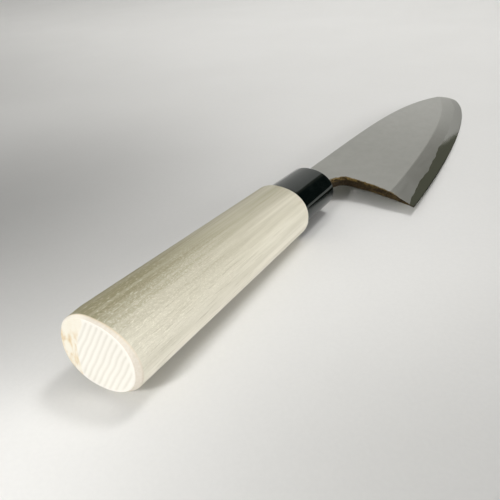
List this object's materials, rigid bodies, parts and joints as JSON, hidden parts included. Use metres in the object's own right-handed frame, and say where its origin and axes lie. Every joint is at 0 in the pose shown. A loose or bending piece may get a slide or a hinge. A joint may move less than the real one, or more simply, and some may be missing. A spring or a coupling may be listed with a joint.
{
  "type": "japanese kitchen knife",
  "caption": "Japanese single-bevel kitchen knife of the deba form: a deep pointed blade with a bevelled edge and hollow back, black ferrule and oval pale wooden handle.",
  "frame": {"origin": "centre of the flat butt face at the handle's end", "axes": "+X along the handle towards the tip of the blade, +Y towards the spine, +Z out of the bevelled face, so that the flat hollow-ground back faces -Z"},
  "size_m": [0.2708, 0.0512, 0.0204],
  "materials": {
    "handle_wood": "bare pale magnolia wood, sanded smooth, fine straight grain",
    "ferrule_plastic": "glossy black moulded plastic",
    "soft_iron": "satin ground faces, brown forge scale on the choil",
    "hard_steel": "finely honed, near mirror"
  },
  "bodies": {
    "root": {"wooden_handle": "handle_wood", "ferrule": "ferrule_plastic", "blade_and_tang": "soft_iron", "cutting_steel": "hard_steel"}
  },
  "joints": []
}
